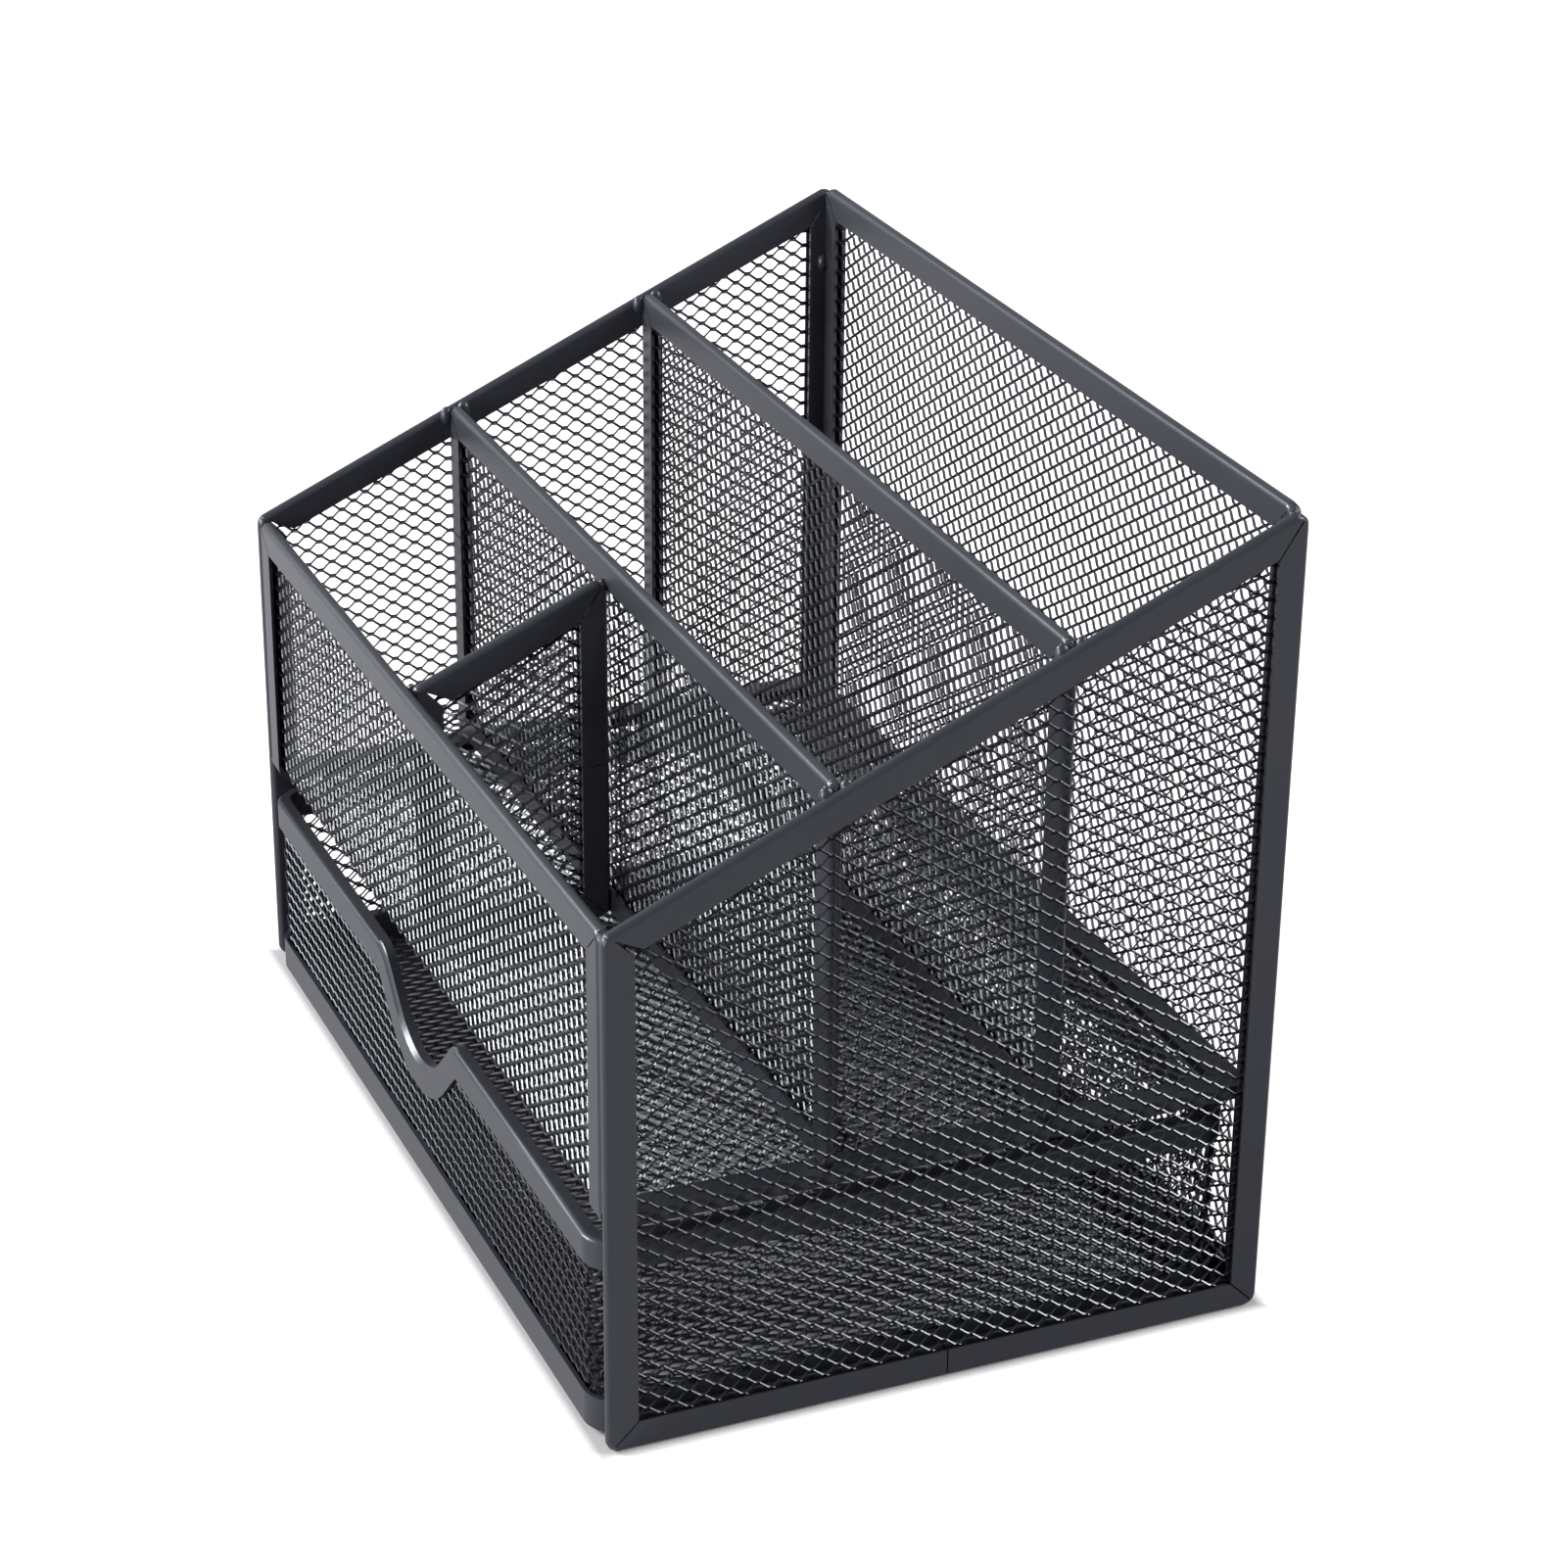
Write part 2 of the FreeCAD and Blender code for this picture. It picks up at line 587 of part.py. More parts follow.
def add_notch(sketch, top, inset, closing):
    """The finger notch's edge, moved into the metal by inset, closed through further corners.

    It runs from the right shoulder's top over two shoulder arcs, two straight flanks and the
    bottom arc, each tangent to the next, to the left shoulder's top.
    """
    radii = number("sizes.pull_shoulder + sizes.pull_bottom")
    half = number("sizes.pull_half")
    climb = radii - number("sizes.pull_deep")
    flank = math.sqrt(half**2 + climb**2 - radii**2)
    turn = math.atan2(radii, flank) - math.atan2(climb, half)
    shoulder_radius = f"sizes.pull_shoulder - ({inset})"
    bottom_radius = f"sizes.pull_bottom + {inset}"
    centres = {
        "right": ("sizes.pull_half", f"{top} - sizes.pull_shoulder"),
        "bottom": ("0", f"{top} - sizes.pull_deep + sizes.pull_bottom"),
        "left": ("-sizes.pull_half", f"{top} - sizes.pull_shoulder"),
    }
    spans = {
        "right": (math.pi / 2, math.pi / 2 + turn),
        "bottom": (1.5 * math.pi - turn, 1.5 * math.pi + turn),
        "left": (math.pi / 2 - turn, math.pi / 2),
    }
    arcs = {}
    for label, centre in centres.items():
        radius = bottom_radius if label == "bottom" else shoulder_radius
        middle = FreeCAD.Vector(number(centre[0]), number(centre[1]), 0)
        circle = Part.Circle(middle, FreeCAD.Vector(0, 0, 1), number(radius))
        arcs[label] = sketch.addGeometry(Part.ArcOfCircle(circle, *spans[label]))
        tie_point(sketch, arcs[label], 3, centre)
        tie(sketch, "Radius", arcs[label], radius)
    for label, end, bottom_end in (("right", 2, 2), ("left", 1, 1)):
        shoulder = sketch.Geometry[arcs[label]]
        bottom = sketch.Geometry[arcs["bottom"]]
        start = shoulder.EndPoint if end == 2 else shoulder.StartPoint
        finish = bottom.EndPoint if bottom_end == 2 else bottom.StartPoint
        line = sketch.addGeometry(Part.LineSegment(start, finish))
        sketch.addConstraint(Sketcher.Constraint("Tangent", arcs[label], end, line, 1))
        sketch.addConstraint(Sketcher.Constraint("Tangent", line, 2, arcs["bottom"], bottom_end))
    tie(sketch, "DistanceX", -1, 1, arcs["right"], 1, "sizes.pull_half")
    tie(sketch, "DistanceX", -1, 1, arcs["left"], 2, "-sizes.pull_half")
    ends = [sketch.Geometry[arcs["left"]].EndPoint, sketch.Geometry[arcs["right"]].StartPoint]
    corners = [FreeCAD.Vector(number(a), number(b), 0) for a, b in closing]
    route = [ends[0], *corners, ends[1]]
    first = sketch.GeometryCount
    for start, end in zip(route, route[1:]):
        sketch.addGeometry(Part.LineSegment(start, end))
    last = sketch.GeometryCount - 1
    sketch.addConstraint(Sketcher.Constraint("Coincident", arcs["left"], 2, first, 1))
    sketch.addConstraint(Sketcher.Constraint("Coincident", last, 2, arcs["right"], 1))
    for index, corner in enumerate(closing):
        sketch.addConstraint(
            Sketcher.Constraint("Coincident", first + index, 2, first + index + 1, 1))
        tie_point(sketch, first + index, 2, corner)


def add_notched_wall(sketch, top, inset, half, bottom):
    """A wall's outline: level top with the notch in it, upright ends and a level bottom."""
    level = f"{top} - ({inset})"
    closing = [(f"-({half})", level), (f"-({half})", bottom), (half, bottom), (half, level)]
    add_notch(sketch, top, inset, closing)


def rim_ring(name, place, height):
    """A solid ring round the drawer, hanging from its top at the given height."""
    body = new_body(name, "z", place)
    outside = Panel("-layout.drawer_half", "layout.drawer_half",
                    "layout.drawer_front", "layout.drawer_back")
    outline = new_sketch(body, f"{name}_outline", "XY_Plane")
    add_polygon(outline, outside.corners())
    blank = body.newObject("PartDesign::Pad", f"{name}_blank")
    blank.Profile = outline
    blank.Reversed = True
    blank.setExpression("Length", height)
    doc.recompute()
    round_edges(body, f"{name}_corners", on_corner("XY_Plane", outside.corners()),
                "sizes.drawer_corner")
    inside = outside.corners("layout.strip_thick")
    cut_polygon(body, "XY_Plane", f"{name}_inside", inside)
    round_edges(body, f"{name}_inside_corners", on_corner("XY_Plane", inside),
                "sizes.drawer_corner - layout.strip_thick")
    return body


def outer_rim(shape, direction):
    """Picks the drawer's outer edges on the faces turned to a direction, not their seams."""
    turned = [
        face for face in shape.Faces
        if face.normalAt(*face.Surface.parameter(face.CenterOfMass)).dot(direction) > 0.3
    ]
    seen = [edge for face in turned for edge in face.Edges]
    front, back = number("layout.drawer_front"), number("layout.drawer_back")
    half, reach = number("layout.drawer_half"), number("sizes.drawer_corner") / 2

    def chosen(edge):
        middle = edge.valueAt((edge.FirstParameter + edge.LastParameter) / 2)
        in_front_face = all(abs(vertex.Y - front) < SAME_PLACE for vertex in edge.Vertexes)
        outside = max(abs(middle.x) - half, front - middle.y, middle.y - back) > -reach / 2
        if abs(middle.x) < half - reach and middle.y < 0:
            outside = in_front_face
        return outside and sum(edge.isSame(other) for other in seen) == 1

    return chosen


UP = FreeCAD.Vector(0, 0, 1)
DOWN = FreeCAD.Vector(0, 0, -1)

# The walls: flat runs between the corners, and four quarter-round corners.
drawer_floor = Panel("-layout.drawer_half + layout.strip_thick",
                     "layout.drawer_half - layout.strip_thick",
                     "layout.drawer_front + layout.strip_thick",
                     "layout.drawer_back - layout.strip_thick")
floor_mesh = mesh_sheet("drawer_floor_mesh", "XY_Plane", "z",
                        "layout.floor_bottom + sizes.mesh_thick / 2",
                        drawer_floor, upright=True, edge="0", hem="sizes.floor_hem")
round_edges(floor_mesh, "drawer_floor_mesh_corners", on_corner("XY_Plane", drawer_floor.corners()),
            "sizes.drawer_corner - layout.strip_thick")

wall_top = "layout.drawer_top - sizes.metal"
wall_hem = "sizes.top_rim_high - sizes.metal - sizes.mesh_hem"
run_half = "layout.drawer_half - sizes.drawer_corner"
side_run = Panel("layout.drawer_front + sizes.drawer_corner",
                 "layout.drawer_back - sizes.drawer_corner", "layout.floor_bottom", wall_top)
cross_run = Panel(f"-({run_half})", run_half, "layout.floor_bottom", wall_top)
walls = [
    mesh_sheet(f"drawer_{hand}_mesh", "YZ_Plane", "x",
               f"{sign}(layout.drawer_half - layout.wall_inset)", side_run,
               edge="0", hem=wall_hem)
    for hand, sign in (("left", "-"), ("right", "+"))
]
walls.append(mesh_sheet("drawer_back_mesh", "XZ_Plane", "y",
                        "layout.drawer_back - layout.wall_inset", cross_run, upright=True,
                        edge="0", hem=wall_hem))

drawer_front_mesh = new_body("drawer_front_mesh", "y", "layout.drawer_front + layout.wall_inset")
blank = new_sketch(drawer_front_mesh, "drawer_front_mesh_outline", "XZ_Plane")
add_notched_wall(blank, "layout.drawer_top", "sizes.metal", run_half, "layout.floor_bottom")
pad(drawer_front_mesh, blank, "drawer_front_mesh_blank", "sizes.mesh_thick")
cut_cells(drawer_front_mesh, "XZ_Plane", cross_run, upright=True)
hem = new_sketch(drawer_front_mesh, "drawer_front_mesh_hem_outline", "XZ_Plane")
add_notched_wall(hem, "layout.drawer_top", "sizes.metal", run_half, "layout.floor_bottom")
add_notched_wall(hem, "layout.drawer_top", "sizes.top_rim_high - sizes.mesh_hem",
                 f"{run_half} - ({wall_hem})", f"layout.floor_bottom + {wall_hem}")
pad(drawer_front_mesh, hem, "drawer_front_mesh_hem", "sizes.mesh_thick")
walls.append(drawer_front_mesh)

# Quarter tubes, one at each corner, standing on their own centre line.
corner_places = [
    (run_half, f"{side_run.far}", 0),
    (f"-({run_half})", f"{side_run.far}", 90),
    (f"-({run_half})", f"{side_run.near}", 180),
    (run_half, f"{side_run.near}", 270),
]
quarters = []
for index, (across, along, turn) in enumerate(corner_places):
    tubes = []
    for label, radius in (
        ("outside", "sizes.drawer_corner - sizes.metal"),
        ("inside", "sizes.drawer_corner - sizes.metal - sizes.mesh_thick"),
    ):
        rod = doc.addObject("Part::Cylinder", f"drawer_corner_{label}_{index}")
        rod.Angle = 90
        rod.setExpression("Radius", radius)
        rod.setExpression("Height", f"{wall_top} - layout.floor_bottom")
        rod.Placement.Rotation = FreeCAD.Rotation(UP, turn)
        rod.setExpression("Placement.Base.x", across)
        rod.setExpression("Placement.Base.y", along)
        rod.setExpression("Placement.Base.z", "layout.floor_bottom")
        tubes.append(rod)
    quarter = doc.addObject("Part::Cut", f"drawer_corner_{index}")
    quarter.Base, quarter.Tool = tubes
    quarters.append(quarter)
drawer_corner_mesh = doc.addObject("Part::Compound", "drawer_corner_mesh")
drawer_corner_mesh.Links = quarters
doc.recompute()
walls.append(drawer_corner_mesh)

# The rims: solid rings first, then the walls' own shape is cut out of them as their slots.
top_blank = rim_ring("drawer_top_rim_blank", "layout.drawer_top",
                     f"sizes.pull_deep + sizes.top_rim_high + {OVERRUN}")
under_lip = new_sketch(top_blank, "drawer_top_rim_lip_outline", "XZ_Plane")
add_notched_wall(under_lip, "0", "sizes.top_rim_high", f"layout.drawer_half + {OVERRUN}",
                 f"-sizes.pull_deep - sizes.top_rim_high - 2 * {OVERRUN}")
pocket(top_blank, under_lip, "drawer_top_rim_lip")
back_lip = "2 * layout.drawer_back"
cut_polygon(top_blank, "YZ_Plane", "drawer_top_rim_back_lip", [
    ("0", "-sizes.top_rim_high"),
    ("0", f"-sizes.pull_deep - sizes.top_rim_high - 2 * {OVERRUN}"),
    (back_lip, f"-sizes.pull_deep - sizes.top_rim_high - 2 * {OVERRUN}"),
    (back_lip, "-sizes.top_rim_high"),
])
notch = new_sketch(top_blank, "drawer_top_rim_notch_outline", "XZ_Plane")
add_notch(notch, "0", "0", [("-sizes.pull_half", f"{OVERRUN}"), ("sizes.pull_half", f"{OVERRUN}")])
notch_cut = top_blank.newObject("PartDesign::Pocket", "drawer_top_rim_notch")
notch_cut.Profile = notch
notch_cut.Reversed = True
notch_cut.setExpression("Length", "-2 * layout.drawer_front")
doc.recompute()
break_edges(top_blank, "drawer_top_rim_edges", outer_rim(top_blank.Tip.Shape, UP), "sizes.edge_break")

bottom_blank = rim_ring("drawer_bottom_rim_blank", "sizes.drawer_lift + sizes.bottom_rim_high",
                        "sizes.bottom_rim_high")
break_edges(bottom_blank, "drawer_bottom_rim_edges", outer_rim(bottom_blank.Tip.Shape, DOWN),
            "sizes.edge_break")

wall_tool = doc.addObject("Part::Compound", "drawer_walls")
wall_tool.Links = walls
doc.recompute()
for label, rim in (("drawer_top_rim", top_blank), ("drawer_bottom_rim", bottom_blank)):
    slotted = doc.addObject("Part::Cut", label)
    slotted.Base = rim
    slotted.Tool = wall_tool
    doc.recompute()

# ---------------------------------------------------------------- weld beads
# Small beads in the corners where one panel's end meets another panel's lip.

# How far a bead turns about the vertical, for the signs along X and Y in which it bulges.
TURNS = {(1, -1): 0, (1, 1): 90, (-1, 1): 180, (-1, -1): 270}
STANDING = FreeCAD.Rotation(FreeCAD.Vector(1, 0, 0), 90)

slope_at = "sizes.front_height + layout.rise * ({place} - layout.front_face) - sizes.weld_radius"
half_strip = "layout.strip_thick / 2"
beads = []


def add_bead(across, along, height, bulge):
    """A tapering bead whose two upright sides lie on the two lips that meet at the corner."""
    bead = doc.addObject("Part::Wedge", f"bead_{len(beads) + 1}")
    for start in ("Xmin", "Ymin", "Zmin", "X2min", "Z2min"):
        bead.setExpression(start, "0")
    for end in ("Xmax", "Ymax", "Zmax"):
        bead.setExpression(end, "sizes.weld_radius")
    for end in ("X2max", "Z2max"):
        bead.setExpression(end, "sizes.weld_radius / 2")
    bead.Placement.Rotation = FreeCAD.Rotation(UP, TURNS[bulge]) * STANDING
    bead.setExpression("Placement.Base.x", across)
    bead.setExpression("Placement.Base.y", along)
    bead.setExpression("Placement.Base.z", height)
    beads.append(bead)


for label in ("middle", "rear"):
    place = f"sizes.{label}_divider_y"
    for along, inward_y in ((f"{place} - {half_strip}", -1), (f"{place} + {half_strip}", 1)):
        height = slope_at.format(place=place)
        add_bead("-layout.half_inside", along, height, (1, inward_y))
        add_bead("layout.half_inside", along, height, (-1, inward_y))

short_left = f"sizes.short_divider_x - {half_strip}"
add_bead(short_left, "layout.short_front", "layout.short_top - sizes.weld_radius", (-1, 1))
add_bead(short_left, "layout.middle_front",
         f"{short.top_at(short.far)} - sizes.corner_round - sizes.weld_radius", (-1, -1))

add_bead("-layout.half_inside", "layout.shelf_back", "sizes.back_weld_height", (1, -1))
add_bead("layout.half_inside", "layout.shelf_back", "sizes.back_weld_height", (-1, -1))

weld_beads = doc.addObject("Part::Compound", "weld_beads")
weld_beads.Links = beads
doc.recompute()

# ---------------------------------------------------------------- checks and export

NODES = [
    "left_frame", "left_mesh", "right_frame", "right_mesh", "back_frame", "back_mesh",
    "front_frame", "front_mesh", "shelf_frame", "shelf_mesh",
    "middle_divider_frame", "middle_divider_mesh", "rear_divider_frame", "rear_divider_mesh",
    "short_divider_frame", "short_divider_mesh", "weld_beads",
    "drawer_top_rim", "drawer_bottom_rim", "drawer_floor_mesh", "drawer_front_mesh",
    "drawer_back_mesh", "drawer_left_mesh", "drawer_right_mesh", "drawer_corner_mesh",
]

for item in doc.Objects:
    if "Invalid" in item.State or "Error" in item.State:
        raise RuntimeError(f"{item.Label} failed: {item.State}")
for label in NODES:
    shape = doc.getObjectsByLabel(label)[0].Shape
    if shape.isNull() or not shape.isValid():
        raise RuntimeError(f"{label} has no valid solid")

os.makedirs("parts", exist_ok=True)
for label in NODES:
    doc.getObjectsByLabel(label)[0].Shape.exportStep(f"parts/{label}.step")
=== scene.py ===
import math
import bpy
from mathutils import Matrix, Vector


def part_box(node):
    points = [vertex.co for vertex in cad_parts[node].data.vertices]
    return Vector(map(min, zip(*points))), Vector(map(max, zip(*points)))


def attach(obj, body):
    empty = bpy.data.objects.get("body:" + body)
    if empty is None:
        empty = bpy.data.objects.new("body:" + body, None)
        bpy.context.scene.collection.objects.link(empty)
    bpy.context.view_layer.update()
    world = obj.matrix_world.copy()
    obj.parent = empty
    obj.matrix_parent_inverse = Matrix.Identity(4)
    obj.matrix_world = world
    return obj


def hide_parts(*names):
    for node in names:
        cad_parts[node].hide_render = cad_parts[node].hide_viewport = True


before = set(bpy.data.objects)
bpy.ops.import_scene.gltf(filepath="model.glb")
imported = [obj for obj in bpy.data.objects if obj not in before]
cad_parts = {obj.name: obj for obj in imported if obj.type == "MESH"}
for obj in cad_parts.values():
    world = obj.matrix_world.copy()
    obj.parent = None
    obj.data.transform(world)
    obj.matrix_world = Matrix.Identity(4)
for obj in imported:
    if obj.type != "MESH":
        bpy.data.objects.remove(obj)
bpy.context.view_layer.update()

# ---------------------------------------------------------------- camera
# A long lens looks down on the stand from its right, past the front corner. The view is square
# and takes in the whole stand with air all round.
bpy.ops.object.select_all(action="DESELECT")
bpy.ops.object.camera_add(
    location=(0.487477, -0.199698, 0.305571),
    rotation=(math.radians(64.656), math.radians(-0.5265), math.radians(67.0804)),
)
camera = bpy.context.object
camera.data.lens = 90.85
camera.data.sensor_width = 36
camera.data.clip_start = 0.02
bpy.context.scene.camera = camera
bpy.context.scene.view_settings.view_transform = "Standard"

# ---------------------------------------------------------------- white table
# A plain white table top under an even white sky. The top shows white to the lens and in sharp
# reflections, and takes the stand's soft shadow from the lamps. Its glow fades out under the
# stand's footprint: a painted shadow beneath the stand.
TABLE_SIZE = 8.0
TABLE_WHITE = (0.45, 0.45, 0.45, 1)
TABLE_GLOW = 0.8
FOOTPRINT = (0.0775, 0.0493)
PAINTED_SHADE_REACH = 0.002
SKY_LIGHT = 0.5
SKY_TINT = (0.93, 0.96, 1.0, 1)
PLAIN_WHITE = (1, 1, 1, 1)
IS_SINGULAR_RAY = 4
OBJECT_PLACE = 3
Y_SHARE = 1


class Wire:
    """A socket in a shader tree. Sums made with it add Math nodes."""

    def __init__(self, nodes, socket):
        self.nodes = nodes
        self.socket = socket

    def sum(self, operation, first, second):
        return self.nodes.add("ShaderNodeMath", {"operation": operation}, {0: first, 1: second})

    def __add__(self, other):
        return self.sum("ADD", self, other)

    def __radd__(self, other):
        return self.sum("ADD", other, self)

    def __sub__(self, other):
        return self.sum("SUBTRACT", self, other)

    def __rsub__(self, other):
        return self.sum("SUBTRACT", other, self)

    def __mul__(self, other):
        return self.sum("MULTIPLY", self, other)

    def __rmul__(self, other):
        return self.sum("MULTIPLY", other, self)

    def past(self, edge, reach):
        """0 up to the edge and 1 from the reach beyond it, either side of the middle."""
        away = self.nodes.add("ShaderNodeMath", {"operation": "ABSOLUTE"}, {0: self})
        scaled = (away - edge) * (1 / reach)
        return self.nodes.add("ShaderNodeClamp", sockets={"Value": scaled})


class Nodes:
    """An emptied shader tree, filled one node at a time."""

    def __init__(self, owner):
        owner.use_nodes = True
        self.tree = owner.node_tree
        self.tree.nodes.clear()

    def add(self, kind, settings=None, sockets=None, out=0):
        """Adds a node with its settings and a value or a wire at each named socket, and returns
        the wire from the output of that number."""
        node = self.tree.nodes.new(kind)
        for setting, value in (settings or {}).items():
            setattr(node, setting, value)
        for name, value in (sockets or {}).items():
            if isinstance(value, Wire):
                self.tree.links.new(value.socket, node.inputs[name])
            else:
                node.inputs[name].default_value = value
        if node.outputs:
            return Wire(self, node.outputs[out])


bpy.ops.mesh.primitive_plane_add(size=TABLE_SIZE, location=(0, 0, 0))
table = bpy.context.object
table.name = "table_top"
table_white = bpy.data.materials.new("table_white")
nodes = Nodes(table_white)
seen = nodes.add("ShaderNodeLightPath")
mirrored = nodes.add("ShaderNodeLightPath", out=IS_SINGULAR_RAY)
place = nodes.add("ShaderNodeTexCoord", out=OBJECT_PLACE)
across = nodes.add("ShaderNodeSeparateXYZ", sockets={"Vector": place})
along = nodes.add("ShaderNodeSeparateXYZ", sockets={"Vector": place}, out=Y_SHARE)
# The glow is masked out under the stand's footprint, which paints a shadow there.
beside = across.past(FOOTPRINT[0], PAINTED_SHADE_REACH)
before = along.past(FOOTPRINT[1], PAINTED_SHADE_REACH)
outside_painted_shadow = nodes.add("ShaderNodeMath", {"operation": "MAXIMUM"}, {0: beside, 1: before})
glow = (seen + mirrored) * outside_painted_shadow * TABLE_GLOW
matt = nodes.add("ShaderNodeBsdfDiffuse", sockets={"Color": TABLE_WHITE})
light = nodes.add("ShaderNodeEmission", sockets={"Color": PLAIN_WHITE, "Strength": glow})
both = nodes.add("ShaderNodeAddShader", sockets={0: matt, 1: light})
nodes.add("ShaderNodeOutputMaterial", sockets={"Surface": both})
table.data.materials.append(table_white)

sky = bpy.data.worlds.new("white_sky")
bpy.context.scene.world = sky
nodes = Nodes(sky)
seen = nodes.add("ShaderNodeLightPath")
mirrored = nodes.add("ShaderNodeLightPath", out=IS_SINGULAR_RAY)
strength = SKY_LIGHT + (seen + mirrored) * (1 - SKY_LIGHT)
white = nodes.add("ShaderNodeBackground", sockets={"Color": SKY_TINT, "Strength": strength})
plain = nodes.add("ShaderNodeBackground", sockets={"Color": PLAIN_WHITE, "Strength": 1.0})
choice = nodes.add("ShaderNodeMixShader", sockets={0: seen, 1: white, 2: plain})
nodes.add("ShaderNodeOutputWorld", sockets={"Surface": choice})

# A soft box high behind the stand draws the thin bright lines along the cut edges of the side
# panel's strands. One in front to the left and a low one in front light those of the front.
LAMPS_AIM_AT = Vector((0, 0, 0.05))
for name, spot, size, watts in (
    ("box_behind", (0.524, 0.94, 0.778), 0.4, 14.0),
    ("box_in_front", (-0.656, -0.962, 0.634), 0.5, 30.0),
    ("box_low_in_front", (0.307, -1.266, 0.18), 0.5, 16.0),
):
    bpy.ops.object.light_add(type="AREA", location=spot)
    lamp = bpy.context.object
    lamp.name = name
    lamp.data.size = size
    lamp.data.energy = watts
    aim = LAMPS_AIM_AT - Vector(spot)
    lamp.rotation_euler = aim.to_track_quat("-Z", "Y").to_euler()

# ---------------------------------------------------------------- side panels
# Each side panel is a sheet of expanded steel held in a folded strip channel whose ends meet in
# mitres at the corners. Both are powder coated satin black, a film with a fine orange peel.
DIAMOND_LONG = 0.00395
DIAMOND_SHORT = 0.00245
STRAND_WIDE = 0.00046
STRAND_THICK = 0.00026
BOND_LONG = 0.0008
STRAND_LEAN = math.radians(42)
SLOPE = 0.4468
SAME_POINT = 0.000002
RIBBON_JOINT = 0.000005
END_FACE = 0.99
DRIFT_SCALE = 35.0
GRAIN_SCALE = 1400.0
PEEL_HEIGHT = 0.00004
MIXED_COLOUR = 2


def powder_coat(name, dark, pale, gloss, peel):
    """Satin black powder: the film's tone and gloss drift a little, over a fine orange peel."""
    coat = bpy.data.materials.new(name)
    nodes = Nodes(coat)
    place = nodes.add("ShaderNodeTexCoord", out=OBJECT_PLACE)
    drift = nodes.add(
        "ShaderNodeTexNoise", sockets={"Vector": place, "Scale": DRIFT_SCALE, "Detail": 3.0}
    )
    grain = nodes.add(
        "ShaderNodeTexNoise", sockets={"Vector": place, "Scale": GRAIN_SCALE, "Detail": 2.0}
    )
    tone = nodes.add(
        "ShaderNodeMix",
        {"data_type": "RGBA"},
        {"Factor": drift * 0.7 + grain * 0.3, 6: dark, 7: pale},
        out=MIXED_COLOUR,
    )
    skin = nodes.add(
        "ShaderNodeBump", sockets={"Strength": peel, "Distance": PEEL_HEIGHT, "Height": grain}
    )
    film = nodes.add(
        "ShaderNodeBsdfPrincipled",
        sockets={
            "Base Color": tone,
            "Roughness": gloss + drift * 0.1 + grain * 0.04,
            "Specular IOR Level": 0.55,
            "Specular Tint": (0.86, 0.9, 1.0, 1),
            "Normal": skin,
        },
    )
    nodes.add("ShaderNodeOutputMaterial", sockets={"Surface": film})
    return coat


# Both coats are the one satin black powder. The strips' paler base is a painted sheen, and the
# mesh's darker base is painted shade among the strands.
strip_coat_with_painted_sheen = powder_coat(
    "strip_powder_coat_painted_sheen", (0.015, 0.0156, 0.0205, 1), (0.025, 0.026, 0.033, 1), 0.27, 0.3
)
mesh_coat_with_painted_shade = powder_coat(
    "mesh_powder_coat", (0.006, 0.0063, 0.009, 1), (0.012, 0.0126, 0.017, 1), 0.17, 0.2
)


def finish(piece, body, coat, nodes):
    """The coat and the body it rides on, for a piece that stands for these solids."""
    piece.data.materials.clear()
    piece.data.materials.append(coat)
    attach(piece, body)
    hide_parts(*nodes)


def pick(*pieces):
    """Selects these pieces alone, the first one active."""
    bpy.ops.object.select_all(action="DESELECT")
    for piece in pieces:
        piece.select_set(True)
    bpy.context.view_layer.objects.active = pieces[0]


def folded_strip(node, body):
    """The strip channel of one panel, its folds rounded by smooth shading over their chamfers."""
    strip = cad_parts[node].copy()
    strip.data = strip.data.copy()
    strip.parent = None
    strip.name = node.replace("_frame", "_strip")
    bpy.context.scene.collection.objects.link(strip)
    pick(strip)
    for key in list(strip.keys()):
        del strip[key]
    bpy.ops.object.mode_set(mode="EDIT")
    bpy.ops.mesh.select_all(action="SELECT")
    bpy.ops.mesh.remove_doubles(threshold=SAME_POINT)
    bpy.ops.mesh.dissolve_limited(angle_limit=math.radians(1))
    bpy.ops.object.mode_set(mode="OBJECT")
    bpy.ops.object.shade_smooth_by_angle(angle=math.radians(55))
    strip.modifiers.new("flat faces", "WEIGHTED_NORMAL").keep_sharp = True
    bpy.ops.object.modifier_apply(modifier="flat faces")
    finish(strip, body, strip_coat_with_painted_sheen, [node])
    return strip


